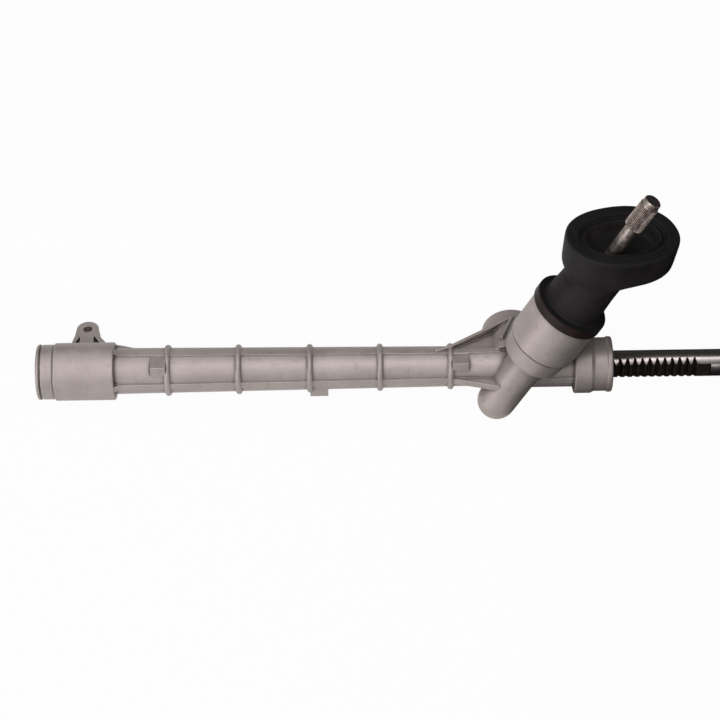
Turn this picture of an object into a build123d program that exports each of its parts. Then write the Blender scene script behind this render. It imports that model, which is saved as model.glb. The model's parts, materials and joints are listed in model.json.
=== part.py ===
from build123d import *
import os
from math import acos, cos, degrees, pi, radians, sin, sqrt, tan

# Manual rack and pinion steering gear for a small car, in millimetres.
# The frame's origin is the middle of the left clamp seat, on the rack bar's axis. +X runs along the bar
# toward the pinion end, and +Z is up as the unit lies on a bench, on its pinion knob and its yoke boss.
# Directions on the unit: x along the bar, y from the bar toward the support yoke, z up the tower's side.

# ---------------------------------------------------------------- driving dimensions
bench_roll = 17.7  # turn about the bar at which knob and yoke boss touch the bench together

running_gap = 0.05  # radial, shaft in bush and bar on liner
seat_gap = 0.02  # radial, pieces that are pressed or pushed into their seats
spring_gap = 0.3  # under the yoke's spring, more than the yoke's lash
free_gap = 0.4  # radial, soft lip round a turning shaft

# Rack bar
bar_radius = 12.0
bar_left_end = -31.7
bar_length = 634.0
bar_end_chamfer = 1.0
thread_core_radius = 6.25
thread_depth = 25.0
tooth_count = 28  # gaps milled in the bar
last_gap_x = 540.4
pitch_line_depth = 7.2  # from the bar's axis to the teeth's reference line
flat_end_x = 555.0

# Teeth, by the normal section that bar and pinion share
tooth_module = 2.1
pressure_angle = 20.0
shaft_angle = 28.0  # lean of the pinion, and so the helix angle of its teeth
pinion_teeth = 7
profile_shift = 0.45  # in modules
tip_height = 1.0  # in modules
root_depth = 1.25  # in modules
pinion_tip_relief = 0.2
tooth_side_play = 0.12  # backlash, measured along the bar

# Pinion shaft, by distance along its own axis from the mesh
pinion_x = 380.0
lower_journal_radius = 6.0
lower_journal_end = -31.0
pinion_toothed_length = 36.0
shoulder_radius = 10.6
race_journal_radius = 8.5
race_bottom = 30.0
seal_journal_radius = 8.0
seal_journal_top = 66.0
shank_radius = 6.0
spline_length = 24.5
spline_below_tip = 6.0
spline_radius = 8.3
spline_depth = 0.75
spline_count = 36
shaft_tip = 229.0
shaft_tip_radius = 7.5
pinch_groove_depth = 1.2

# Lower needle bearing
needle_radius = 1.0
needle_count = 12
needle_length = 8.0
needle_cup_radius = 9.0
needle_cup_bottom = -30.0
needle_cup_length = 11.0

# Upper ball bearing
race_outer_radius = 20.0
race_width = 12.0
ball_radius = 3.375
ball_count = 8
circlip_thickness = 1.6
circlip_depth = 1.6

# Oil seal over the bearing
oil_seal_height = 6.0
oil_seal_wall = 2.2

# Housing: the barrel along the bar
clamp_seat_radius = 25.7
clamp_seat_length = 53.2
left_neck_radius = 24.4
left_lip_radius = 24.7
left_lip_x = -42.1
lip_width = 2.6
lip_round = 1.7
groove_width = 2.0
groove_depth = 1.2
seat_round = 1.2
seat_relief_width = 1.2
seat_relief_depth = 0.4
tube_left_radius = 20.5
tube_right_radius = 17.9
ring_rib_x = (73.7, 136.4, 199.6, 261.8, 324.3)
ring_rib_width = 5.4
ring_rib_height = 2.7
long_rib_width = 5.7
long_rib_height = 0.9
short_tube_radius = 19.7
right_seat_radius = 25.55
right_seat_x = 433.7
right_seat_length = 17.5
right_seat_cone = 3.0  # from the seat down to the neck
right_neck_radius = 23.9
right_neck_length = 11.0
right_lip_radius = 24.75
right_lip_length = 5.1

# Housing: bores along the bar
end_bore_radius = 20.5
bush_bore_radius = 17.0
bush_half_length = 14.0
core_left_radius = 16.2
core_right_radius = 13.6
core_right_x = 345.0
right_end_bore_x = 441.0
end_stop_width = 4.0
end_stop_bore = 13.2

# Housing: square lugs on the tube
lug_face = 20.4  # tower side face of the left lug, from the bar's axis
lug_front = 18.2
left_lug_x = (59.6, 72.2)
right_lug_x = (326.0, 340.0)
right_lug_drop = 2.1  # how much nearer to the axis the right lug's faces are
lower_lug_x = (199.6, 215.6)
lower_lug_face = 18.6
lower_lug_front = 16.6

# Housing: ear on the clamp seat
ear_x = -1.3
ear_reach = 48.6
ear_boss_radius = 10.0
ear_hole_radius = 4.1
ear_top = 6.0
ear_thickness = 11.0
ear_pocket_depth = 4.0
ear_pocket_length = 10.4
ear_pocket_widths = (5.0, 6.8)  # left and right of the ear's middle column
ear_pocket_end = 8.6  # from the ear's hole
ear_column_half = 6.1
ear_web_end_x = 46.0
ear_web_rise = 5.8  # over the tube, at the clamp seat's edge
ear_web_bottom = -1.5
ear_web_top = 7.5

# Housing: tower round the pinion
knob_radius = 17.3
knob_centre = -30.2
tower_step = 31.0
tower_band_radius = 26.6
tower_band_top_radius = 29.3
tower_band_end = 50.0
tower_band_round = 3.0
tower_line_width = 1.0  # the fine groove under the upper barrel
tower_line_depth = 0.8
tower_neck_height = 4.0  # from the knob's cylinder out to the band
tower_radius = 30.7
tower_top_radius = 31.3
tower_top = 92.0
spigot_radius = 28.8
spigot_length = 5.0
pinion_bore_radius = 12.0
dust_bore_radius = 25.6
oil_seal_seat = 56.0

# Housing: yoke boss and gussets
yoke_boss_radius = 25.2
yoke_boss_reach = 47.0
yoke_boss_round = 2.0
yoke_thread_radius = 18.5
yoke_thread_start = 27.0
gusset_start_x = 316.0
gusset_tip_x = 376.0
gusset_tip_reach = 42.0
gusset_face = 17.8
gusset_thickness = 7.0
gusset_rim_width = 2.8
gusset_rim_round = 0.9
gusset_rim_foot = (312.0, 0.0)  # the rim's points are (x, y) on the unit
gusset_rim_bend = (325.4, 4.2)
gusset_rim_tip = (380.3, 35.3)
gusset_rim_corner = (370.0, 10.3)
gusset_rim_low = 20.6  # the rim's height, at its foot and at its tip
gusset_rim_high = 27.0
knob_gusset_reach = 29.5
knob_gusset_x = 367.0
tower_rib_end_x = 368.0
right_rib_start_x = 400.0

# Support yoke group
yoke_radius = 15.0
yoke_front = 4.0
yoke_back = 25.5
liner_thickness = 0.8
yoke_ring_wire = 1.0
yoke_lash = 0.1  # play behind the yoke, which its joint uses
spring_radius = 6.2
spring_wire_radius = 1.0
spring_turns = 3.5
spring_side_gap = 1.0
spring_pocket_depth = 9.0
plug_length = 9.0
plug_hexagon = 24.0  # across flats
plug_hexagon_depth = 6.0
lock_ring_height = 4.5
lock_ring_bore = 13.0
thread_gap = 0.15

# Rubber bulkhead seal and its band
seal_flange_radius = 31.8
seal_ledge_radius = 33.0
seal_ledge_round = 0.35
seal_neck_radius = 26.0
seal_neck_top_radius = 24.3
seal_neck_straight = 11.0  # the neck's upper stretch, which doesn't taper
seal_wall = 3.5
seal_lip_depth = 5.0
pad_lean = 7.0
pad_skew = 20.0  # turn of the oval about its own middle
pad_centre_x = 467.5
pad_centre_y = -2.5
pad_height = 154.0
pad_thickness = 30.0
pad_half_length = 50.7
pad_half_width = 37.6
pad_taper = 2.0
pad_rim = 11.0
pad_step = 4.7
pad_ledge_width = 6.5
bowl_depth = 15.0
bowl_narrowing = 4.0
pad_top_round = 2.0
pad_bottom_round = 6.0
band_thickness = 1.2
band_height = 8.0
band_overlap = 0.3  # below the tower's top edge

# ---------------------------------------------------------------- planes and axes
roll = radians(bench_roll)
lean = radians(shaft_angle)
bench = Plane(origin=(0, 0, 0), x_dir=(1, 0, 0), z_dir=(0, sin(roll), cos(roll)))


def on_unit(x, y, z):
    """A point or direction given along the unit's own directions"""
    return bench.from_local_coords((x, y, z))


normal_depth = profile_shift * tooth_module
pitch_radius = pinion_teeth * tooth_module / (2 * cos(lean))
centre_distance = pitch_line_depth + pitch_radius + normal_depth
pinion_dir = on_unit(sin(lean), 0, cos(lean))
pinion_side = on_unit(cos(lean), 0, -sin(lean))

# Section planes: local x is a radius, local y is the axis that pieces are turned about
bar_section = Plane((0, 0, 0), x_dir=on_unit(0, 1, 0), z_dir=on_unit(0, 0, -1))
pinion_section = Plane(on_unit(pinion_x, -centre_distance, 0), x_dir=pinion_side, z_dir=on_unit(0, -1, 0))
yoke_section = Plane(on_unit(pinion_x, 0, 0), x_dir=(1, 0, 0), z_dir=on_unit(0, 0, 1))


def across(section, height):
    """The plane square to a section's axis, that far along it"""
    return Plane(section.from_local_coords((0, height, 0)), x_dir=section.x_dir, z_dir=section.y_dir)


def turned(section, profile, rounds=()):
    """A closed (radius, height) profile turned about the section's axis, with some corners rounded"""
    with BuildPart() as piece:
        with BuildSketch(section) as face:
            with BuildLine():
                Polyline(*profile, close=True)
            make_face()
            for corner, radius in rounds:
                fillet(face.vertices().sort_by_distance(corner)[0], radius)
        revolve(axis=Axis(section.origin, section.y_dir))
    return piece.part


def ring(section, inner, outer, bottom, top):
    """A plain turned ring"""
    return turned(section, [(inner, bottom), (outer, bottom), (outer, top), (inner, top)])


def rubber_ring(section, centre_radius, wire_radius, height):
    """A rubber ring of round section"""
    with BuildPart() as piece:
        with BuildSketch(section):
            with Locations((centre_radius, height)):
                Circle(wire_radius)
        revolve(axis=Axis(section.origin, section.y_dir))
    return piece.part


def plate(outline, bottom, top):
    """An (x, y) outline on the unit, made solid between two heights up the tower side"""
    with BuildPart() as piece:
        with BuildSketch(bench.offset(bottom)):
            with BuildLine():
                Polyline(*outline, close=True)
            make_face()
        extrude(amount=top - bottom)
    return piece.part


def wall(start, end, bottom, tops, width):
    """An upright wall between two (x, y) points on the unit, its top sloping and rounded along its edges"""
    run = on_unit(end[0] - start[0], end[1] - start[1], 0)
    side = Plane(on_unit(*start, 0), x_dir=run, z_dir=run.cross(bench.z_dir))
    with BuildPart() as piece:
        with BuildSketch(side):
            with BuildLine():
                Polyline(
                    (-width / 2, bottom),
                    (run.length + width / 2, bottom),
                    (run.length + width / 2, tops[1]),
                    (-width / 2, tops[0]),
                    close=True,
                )
            make_face()
        extrude(amount=width / 2, both=True)
        top = piece.faces().sort_by(Axis(bench.origin, bench.z_dir))[-1]
        fillet(top.edges().sort_by(SortBy.LENGTH)[-2:], gusset_rim_round)
    return piece.part


def write_piece(piece, name):
    """Label a finished piece and write its STEP file"""
    piece.part.label = name
    export_step(piece.part, f"parts/{name}.step")


# ---------------------------------------------------------------- rack bar
tooth_pitch = pi * tooth_module
flank_slope = tan(radians(pressure_angle))
bar_right_end = bar_left_end + bar_length
bar_tip_depth = pitch_line_depth + tip_height * tooth_module
bar_root_depth = pitch_line_depth - root_depth * tooth_module
first_gap_x = last_gap_x - (tooth_count - 1) * tooth_pitch


def bar_blank():
    """The ground bar with its end chamfers"""
    return turned(
        bar_section,
        [
            (0, bar_left_end),
            (bar_radius - bar_end_chamfer, bar_left_end),
            (bar_radius, bar_left_end + bar_end_chamfer),
            (bar_radius, bar_right_end - bar_end_chamfer),
            (bar_radius - bar_end_chamfer, bar_right_end),
            (0, bar_right_end),
        ],
    )


def tooth_gap_outline(gap_x):
    """One gap between teeth, as (x, y) points: y is negative toward the pinion"""
    half_at_reference = tooth_pitch / 4
    overshoot = bar_radius - pitch_line_depth
    top_half = half_at_reference + overshoot * flank_slope
    root_half = half_at_reference - root_depth * tooth_module * flank_slope
    return [
        (gap_x - top_half, -bar_radius),
        (gap_x + top_half, -bar_radius),
        (gap_x + root_half, -bar_root_depth),
        (gap_x - root_half, -bar_root_depth),
    ]


with BuildPart() as rack_bar:
    add(bar_blank())
    with BuildSketch(bench.offset(-bar_radius)):
        for gap in range(tooth_count):
            with BuildLine():
                Polyline(*tooth_gap_outline(first_gap_x + gap * tooth_pitch), close=True)
            make_face()
    extrude(amount=2 * bar_radius, mode=Mode.SUBTRACT)
    # The teeth's tips are milled to one flat, which runs out past the last gap
    add(
        plate(
            [
                (first_gap_x - tooth_pitch, -bar_tip_depth),
                (flat_end_x, -bar_tip_depth),
                (flat_end_x, -bar_radius),
                (first_gap_x - tooth_pitch, -bar_radius),
            ],
            -bar_radius,
            bar_radius,
        ),
        mode=Mode.SUBTRACT,
    )
    # A bore for the tie rod's thread in each end
    with Locations(across(bar_section, bar_left_end), across(bar_section, bar_right_end)):
        Hole(radius=thread_core_radius, depth=thread_depth)


# ---------------------------------------------------------------- pinion shaft
transverse_angle = acos(1 / sqrt(1 + (flank_slope / cos(lean)) ** 2))
base_radius = pitch_radius * cos(transverse_angle)
pinion_tip_radius = pitch_radius + normal_depth + tip_height * tooth_module - pinion_tip_relief
pinion_root_radius = pitch_radius + normal_depth - root_depth * tooth_module
race_top = race_bottom + race_width
toothed_half = pinion_toothed_length / 2
spline_end = shaft_tip - spline_below_tip
spline_start = spline_end - spline_length


def involute(angle):
    """The involute function"""
    return tan(angle) - angle


def half_tooth_angle(radius):
    """Half of the angle that one pinion tooth fills at a radius, with the side play taken off"""
    normal_thickness = pi / 2 * tooth_module - tooth_side_play + 2 * normal_depth * flank_slope
    half_at_pitch = normal_thickness / (2 * cos(lean))
    flank_angle = acos(base_radius / max(radius, base_radius))
    return half_at_pitch / pitch_radius + involute(transverse_angle) - involute(flank_angle)


def polar(radius, angle):
    return (radius * cos(angle), radius * sin(angle))


# At rest the bar's nearest gap isn't opposite the pinion's axis: the pinion is turned back by as much
gap_offset = (last_gap_x - pinion_x) % tooth_pitch
bar_travel_per_radian = pitch_radius * cos(lean)
mesh_angle = pi / 2 - gap_offset / bar_travel_per_radian
twist = 2 * toothed_half * tan(lean) / pitch_radius


def pinion_tooth_section(plane):
    """The pinion's toothed section: involute flanks above the base circle, straight ones below it"""
    flank_radii = [base_radius + (pinion_tip_radius - base_radius) * step / 4 for step in range(5)]
    with BuildSketch(plane) as section:
        Circle(pinion_root_radius)
        for tooth in range(pinion_teeth):
            centre = mesh_angle - twist / 2 + 2 * pi * tooth / pinion_teeth
            rising = [polar(radius, centre - half_tooth_angle(radius)) for radius in flank_radii]
            falling = [polar(radius, centre + half_tooth_angle(radius)) for radius in reversed(flank_radii)]
            foot = 0.8 * pinion_root_radius
            with BuildLine():
                Line(polar(foot, centre - half_tooth_angle(base_radius)), rising[0])
                Spline(*rising)
                ThreePointArc(rising[-1], polar(pinion_tip_radius, centre), falling[0])
                Spline(*falling)
                Line(falling[-1], polar(foot, centre + half_tooth_angle(base_radius)))
                Line(
                    polar(foot, centre + half_tooth_angle(base_radius)),
                    polar(foot, centre - half_tooth_angle(base_radius)),
                )
            make_face()
    return section.sketch


def helical_teeth():
    """The toothed length, its section turned steadily along the axis, with chamfered ends"""
    start = across(pinion_section, -toothed_half)
    blank = Solid.extrude_linear_with_rotation(
        pinion_tooth_section(start).faces()[0],
        start.origin,
        pinion_dir * (2 * toothed_half),
        degrees(twist),
    )
    slope = pinion_tip_radius - pinion_root_radius
    with BuildPart() as teeth:
        add(blank)
        add(
            turned(
                pinion_section,
                [
                    (0, -toothed_half),
                    (pinion_root_radius, -toothed_half),
                    (pinion_tip_radius + 1, -toothed_half + slope + 1),
                    (pinion_tip_radius + 1, toothed_half),
                    (0, toothed_half),
                ],
            ),
            mode=Mode.INTERSECT,
        )
    return teeth.part


def spline_outline():
    """Serration points round the shaft's end, with one left out where the joint's key tooth goes"""
    points = []
    for tooth in range(spline_count):
        step = 2 * pi / spline_count
        crest = spline_radius - (spline_depth if tooth == 0 else 0)
        points.append(polar(spline_radius - spline_depth, tooth * step))
        points.append(polar(crest, (tooth + 0.35) * step))
        points.append(polar(crest, (tooth + 0.65) * step))
    return points


with BuildPart() as pinion_shaft:
    add(
        turned(
            pinion_section,
            [
                (0, lower_journal_end),
                (lower_journal_radius - 0.6, lower_journal_end),
                (lower_journal_radius, lower_journal_end + 0.6),
                (lower_journal_radius, -toothed_half),
                (pinion_root_radius, -toothed_half),
                (pinion_root_radius, toothed_half),
                (shoulder_radius, toothed_half + 3),
                (shoulder_radius, race_bottom),
                (race_journal_radius, race_bottom),
                (race_journal_radius, race_top),
                (race_journal_radius - circlip_depth / 2, race_top),
                (race_journal_radius - circlip_depth / 2, race_top + circlip_thickness),
                (race_journal_radius, race_top + circlip_thickness),
                (race_journal_radius, race_top + circlip_thickness + 1.5),
                (seal_journal_radius, race_top + circlip_thickness + 2),
                (seal_journal_radius, seal_journal_top),
                (shank_radius, seal_journal_top + 4),
                (shank_radius, spline_start - 1),
                (spline_radius - spline_depth, spline_start),
                (spline_radius - spline_depth, spline_end),
                (spline_radius - pinch_groove_depth, spline_end + 0.5),
                (spline_radius - pinch_groove_depth, spline_end + 2),
                (shaft_tip_radius, spline_end + 2.5),
                (shaft_tip_radius, shaft_tip - 1),
                (shaft_tip_radius - 1, shaft_tip),
                (0, shaft_tip),
            ],
        )
    )
    add(helical_teeth())
    with BuildSketch(across(pinion_section, spline_start)):
        with BuildLine():
            Polyline(*spline_outline(), close=True)
        make_face()
    extrude(amount=spline_end - spline_start)


# ---------------------------------------------------------------- bearings of the pinion
roller_path_radius = lower_journal_radius + needle_radius + running_gap / 2
cup_bore = roller_path_radius + needle_radius + running_gap / 2

with BuildPart() as needle_cup:
    add(
        turned(
            pinion_section,
            [
                (cup_bore, needle_cup_bottom + 1),
                (lower_journal_radius + 0.8, needle_cup_bottom + 1),
                (lower_journal_radius + 0.8, needle_cup_bottom),
                (needle_cup_radius, needle_cup_bottom),
                (needle_cup_radius, needle_cup_bottom + needle_cup_length),
                (lower_journal_radius + 0.8, needle_cup_bottom + needle_cup_length),
                (lower_journal_radius + 0.8, needle_cup_bottom + needle_cup_length - 1),
                (cup_bore, needle_cup_bottom + needle_cup_length - 1),
            ],
        )
    )

needle_middle = needle_cup_bottom + needle_cup_length / 2

with BuildPart() as needle_rollers:
    with BuildSketch(across(pinion_section, needle_middle - needle_length / 2)):
        with PolarLocations(roller_path_radius, needle_count):
            Circle(needle_radius)
    extrude(amount=needle_length)

with BuildPart() as needle_cage:
    add(
        ring(
            pinion_section,
            roller_path_radius - 0.4,
            roller_path_radius + 0.4,
            needle_middle - needle_length / 2 - 0.4,
            needle_middle + needle_length / 2 + 0.4,
        )
    )
    with BuildSketch(across(pinion_section, needle_middle - needle_length / 2 - 0.1)):
        with PolarLocations(roller_path_radius, needle_count):
            Circle(needle_radius + 0.1)
    extrude(amount=needle_length + 0.2, mode=Mode.SUBTRACT)

ball_path_radius = (race_outer_radius + race_journal_radius) / 2
race_middle = race_bottom + race_width / 2
inner_land = ball_path_radius - ball_radius + 1.0
outer_land = ball_path_radius + ball_radius - 1.0


def ball_race(inner, outer):
    """A bearing ring with the balls' track cut in its face"""
    with BuildPart() as race:
        with BuildSketch(pinion_section):
            with Locations(((inner + outer) / 2, race_middle)):
                Rectangle(outer - inner, race_width)
            with Locations((ball_path_radius, race_middle)):
                Circle(ball_radius + running_gap / 2, mode=Mode.SUBTRACT)
        revolve(axis=Axis(pinion_section.origin, pinion_section.y_dir))
    return race


bearing_outer_race = ball_race(outer_land, race_outer_radius - seat_gap)
bearing_inner_race = ball_race(race_journal_radius + seat_gap, inner_land)

with BuildPart() as bearing_balls:
    with Locations(across(pinion_section, race_middle)):
        with PolarLocations(ball_path_radius, ball_count):
            Sphere(ball_radius)

race_centre = pinion_section.from_local_coords((0, race_middle, 0))

with BuildPart() as bearing_cage:
    add(
        ring(
            pinion_section,
            ball_path_radius - 0.9,
            ball_path_radius + 0.9,
            race_middle - ball_radius - 1.2,
            race_middle + ball_radius + 1.2,
        )
    )
    for ball in range(ball_count):
        turn = 2 * pi * ball / ball_count
        outward = pinion_side * cos(turn) + on_unit(0, 1, 0) * sin(turn)
        with BuildSketch(Plane(race_centre, x_dir=pinion_dir, z_dir=outward)):
            Circle(ball_radius + 0.1)
        extrude(amount=race_outer_radius, mode=Mode.SUBTRACT)


def circlip(inner, outer, bottom, gap_angle):
    """An open spring ring"""
    with BuildPart() as clip:
        with BuildSketch(across(pinion_section, bottom)):
            Circle(outer)
            Circle(inner, mode=Mode.SUBTRACT)
            with BuildLine():
                Polyline(
                    (0, 0),
                    polar(2 * outer, -gap_angle / 2),
                    polar(2 * outer, gap_angle / 2),
                    close=True,
                )
            make_face(mode=Mode.SUBTRACT)
        extrude(amount=circlip_thickness - 2 * seat_gap)
    return clip


bearing_circlip = circlip(
    race_outer_radius - circlip_depth,
    race_outer_radius + circlip_depth - seat_gap,
    race_top + seat_gap,
    pi / 6,
)
shaft_circlip = circlip(
    race_journal_radius - circlip_depth / 2 + seat_gap,
    race_journal_radius + circlip_depth,
    race_top + seat_gap,
    pi / 3,
)

oil_seal_top = oil_seal_seat + oil_seal_height
oil_seal_radius = race_outer_radius + 1.0

with BuildPart() as pinion_oil_seal:
    add(
        turned(
            pinion_section,
            [
                (seal_journal_radius + running_gap, oil_seal_seat + 2.4),
                (seal_journal_radius + oil_seal_wall, oil_seal_seat + 0.6),
                (seal_journal_radius + oil_seal_wall, oil_seal_top - oil_seal_wall),
                (oil_seal_radius - oil_seal_wall, oil_seal_top - oil_seal_wall),
                (oil_seal_radius - oil_seal_wall, oil_seal_seat),
                (oil_seal_radius - seat_gap, oil_seal_seat),
                (oil_seal_radius - seat_gap, oil_seal_top),
                (seal_journal_radius + 1.0, oil_seal_top),
            ],
        )
    )


# ---------------------------------------------------------------- housing
clamp_seat_half = clamp_seat_length / 2
right_seat_end = right_seat_x + right_seat_length
right_neck_end = right_seat_end + right_neck_length
housing_right_end = right_neck_end + right_lip_length
spigot_top = tower_top + spigot_length
left_stop_x = -bush_half_length - end_stop_width
right_stop_x = right_end_bore_x


tube_stations = [
    (clamp_seat_half, tube_left_radius),
    (ring_rib_x[-1], tube_right_radius),
    (core_right_x, tube_right_radius),
    (pinion_x, short_tube_radius),
    (right_seat_x, short_tube_radius),
]


def tube_radius(x):
    """Outer radius of the cast tube, which tapers toward the pinion and widens again at the tower"""
    for (left_x, left_radius), (right_x, right_radius) in zip(tube_stations, tube_stations[1:]):
        if x <= right_x:
            share = (x - left_x) / (right_x - left_x)
            return left_radius + share * (right_radius - left_radius)
    return short_tube_radius


def barrel():
    """The outside of the casting along the bar"""
    groove_x = left_lip_x + lip_width
    relief_x = -clamp_seat_half - seat_relief_width
    cone_x = right_seat_end - right_seat_cone
    lip_chamfer = 0.8
    return turned(
        bar_section,
        [
            (0, left_lip_x),
            (left_lip_radius, left_lip_x),
            (left_lip_radius, groove_x),
            (left_neck_radius - groove_depth, groove_x),
            (left_neck_radius - groove_depth, groove_x + groove_width),
            (left_neck_radius, groove_x + groove_width),
            (left_neck_radius, relief_x),
            (left_neck_radius - seat_relief_depth, relief_x),
            (left_neck_radius - seat_relief_depth, -clamp_seat_half),
            (clamp_seat_radius, -clamp_seat_half),
            (clamp_seat_radius, clamp_seat_half),
            (tube_left_radius, clamp_seat_half),
            *[(radius, x) for x, radius in tube_stations[1:]],
            (right_seat_radius, right_seat_x),
            (right_seat_radius, cone_x),
            (right_neck_radius, right_seat_end),
            (right_neck_radius, right_neck_end),
            (right_lip_radius, right_neck_end + lip_chamfer),
            (right_lip_radius, housing_right_end),
            (0, housing_right_end),
        ],
        [
            ((left_lip_radius, left_lip_x), lip_round),
            ((clamp_seat_radius, -clamp_seat_half), seat_round),
            ((clamp_seat_radius, clamp_seat_half), seat_round),
            ((right_seat_radius, right_seat_x), seat_round),
            ((right_lip_radius, housing_right_end), lip_round),
        ],
    )


def ring_rib(x):
    """A rib of round section round the tube"""
    foot = tube_radius(x) - long_rib_height
    half = ring_rib_width / 2
    with BuildPart() as rib:
        with BuildSketch(bar_section):
            with BuildLine():
                ThreePointArc(
                    (foot, x - half),
                    (tube_radius(x) + ring_rib_height, x),
                    (foot, x + half),
                )
                Polyline(
                    (foot, x + half),
                    (core_left_radius, x + half),
                    (core_left_radius, x - half),
                    (foot, x - half),
                )
            make_face()
        revolve(axis=Axis(bar_section.origin, bar_section.y_dir))
    return rib.part


def long_rib(direction, start_x, end_x, rise=0):
    """A flat-topped rib along the tube, that many degrees round from the yoke side, with a raised start"""
    side = on_unit(0, cos(radians(direction)), sin(radians(direction)))
    along = Plane((0, 0, 0), x_dir=(1, 0, 0), z_dir=Vector(1, 0, 0).cross(side))
    knees = [x for x, radius in tube_stations if start_x + rise < x < end_x]
    top = [(x, tube_radius(x) + long_rib_height) for x in (start_x + rise, *knees, end_x)]
    with BuildPart() as rib:
        with BuildSketch(along):
            with BuildLine():
                Polyline(
                    (end_x, core_left_radius),
                    (start_x, core_left_radius),
                    (start_x, tube_radius(start_x) + rise * 0.8),
                    *top,
                    close=True,
                )
            make_face()
        extrude(amount=long_rib_width / 2, both=True)
    return rib.part


def corner_lug(x_range, front, face):
    """A square lug on the tube: front toward the pinion side, face up or down the tower side"""
    return plate(
        [(x_range[0], 0), (x_range[1], 0), (x_range[1], -front), (x_range[0], -front)],
        min(0, face),
        max(0, face),
    )


def ear():
    """The lug with a bolt hole that stands on the clamp seat, pocketed beside its middle column"""
    foot = end_bore_radius + 1.5
    bottom = ear_top - ear_thickness
    with BuildPart() as lug:
        with BuildSketch(bench.offset(bottom)):
            with BuildLine():
                Polyline(
                    (ear_x - 13.5, foot),
                    (ear_x - 13.2, ear_reach - 18),
                    (ear_x - 11.0, ear_reach - 8.6),
                    (ear_x - ear_boss_radius, ear_reach),
                    (ear_x + ear_boss_radius, ear_reach),
                    (ear_x + 12.6, ear_reach - 11),
                    (ear_x + 18.0, ear_reach - 18.2),
                    (ear_x + 18.6, foot),
                    close=True,
                )
            make_face()
            with Locations((ear_x, ear_reach)):
                Circle(ear_boss_radius)
        extrude(amount=ear_thickness)
        with BuildSketch(bench.offset(ear_top)):
            pocket_top = ear_reach - ear_pocket_end
            for side, width in zip((-1, 1), ear_pocket_widths):
                inner = ear_x + side * ear_column_half
                with BuildLine():
                    Polyline(
                        (inner, pocket_top),
                        (inner, pocket_top - ear_pocket_length),
                        (inner + side * width, pocket_top - ear_pocket_length),
                        close=True,
                    )
                make_face()
        extrude(amount=-ear_pocket_depth, mode=Mode.SUBTRACT)
        with Locations(Plane(on_unit(ear_x, ear_reach, ear_top), x_dir=(1, 0, 0), z_dir=bench.z_dir)):
            Hole(radius=ear_hole_radius)
    return lug.part


def tower_outside():
    """The outside of the casting round the pinion: knob, bearing boss, upper cylinder and spigot"""
    knob_bottom = knob_centre - knob_radius
    with BuildPart() as tower:
        with BuildSketch(pinion_section) as outline:
            with BuildLine():
                ThreePointArc(
                    (0, knob_bottom),
                    (knob_radius * sin(pi / 4), knob_centre - knob_radius * cos(pi / 4)),
                    (knob_radius, knob_centre),
                )
                Polyline(
                    (knob_radius, knob_centre),
                    (knob_radius, tower_step - tower_neck_height),
                    (tower_band_radius, tower_step),
                    (tower_band_top_radius, tower_band_end - tower_line_width),
                    (tower_band_top_radius - tower_line_depth, tower_band_end - tower_line_width),
                    (tower_band_top_radius - tower_line_depth, tower_band_end),
                    (tower_radius, tower_band_end),
                    (tower_top_radius, tower_top),
                    (spigot_radius, tower_top),
                    (spigot_radius, spigot_top),
                    (0, spigot_top),
                    (0, knob_bottom),
                )
            make_face()
            band_edge = outline.vertices().sort_by_distance((tower_band_radius, tower_step))[0]
            fillet(band_edge, tower_band_round)
        revolve(axis=Axis(pinion_section.origin, pinion_section.y_dir))
    return tower.part


def tower_bore():
    """Stepped bore for needle bearing, pinion, ball bearing, circlip, oil seal and the open top"""
    return turned(
        pinion_section,
        [
            (0, lower_journal_end - 1.5),
            (lower_journal_radius + 0.8, lower_journal_end - 1.5),
            (lower_journal_radius + 0.8, needle_cup_bottom),
            (needle_cup_radius + seat_gap, needle_cup_bottom),
            (needle_cup_radius + seat_gap, needle_cup_bottom + needle_cup_length),
            (pinion_bore_radius, needle_cup_bottom + needle_cup_length),
            (pinion_bore_radius, race_bottom - 2),
            (outer_land - 0.5, race_bottom - 2),
            (outer_land - 0.5, race_bottom),
            (race_outer_radius, race_bottom),
            (race_outer_radius, race_top),
            (race_outer_radius + circlip_depth, race_top),
            (race_outer_radius + circlip_depth, race_top + circlip_thickness),
            (race_outer_radius, race_top + circlip_thickness),
            (race_outer_radius, oil_seal_seat),
            (oil_seal_radius, oil_seal_seat),
            (oil_seal_radius, oil_seal_top + 1),
            (dust_bore_radius, oil_seal_top + 4),
            (dust_bore_radius, spigot_top),
            (0, spigot_top),
        ],
    )


def bar_bore():
    """Stepped and tapered bore along the bar"""
    return turned(
        bar_section,
        [
            (0, left_lip_x),
            (end_bore_radius, left_lip_x),
            (end_bore_radius, left_stop_x),
            (end_bore_radius, -bush_half_length),
            (bush_bore_radius, -bush_half_length),
            (bush_bore_radius, bush_half_length),
            (core_left_radius, bush_half_length),
            (core_right_radius, core_right_x),
            (core_right_radius, right_end_bore_x),
            (end_bore_radius, right_end_bore_x),
            (end_bore_radius, housing_right_end),
            (0, housing_right_end),
        ],
    )


def yoke_bore():
    """Bore for the support yoke, with the wider thread for its plug"""
    return turned(
        yoke_section,
        [
            (0, 0),
            (yoke_radius + running_gap, 0),
            (yoke_radius + running_gap, yoke_thread_start),
            (yoke_thread_radius, yoke_thread_start),
            (yoke_thread_radius, yoke_boss_reach),
            (0, yoke_boss_reach),
        ],
    )


def yoke_boss():
    """The round boss behind the bar"""
    return turned(
        yoke_section,
        [(0, 0), (yoke_boss_radius, 0), (yoke_boss_radius, yoke_boss_reach), (0, yoke_boss_reach)],
        [((yoke_boss_radius, yoke_boss_reach), yoke_boss_round)],
    )


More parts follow.
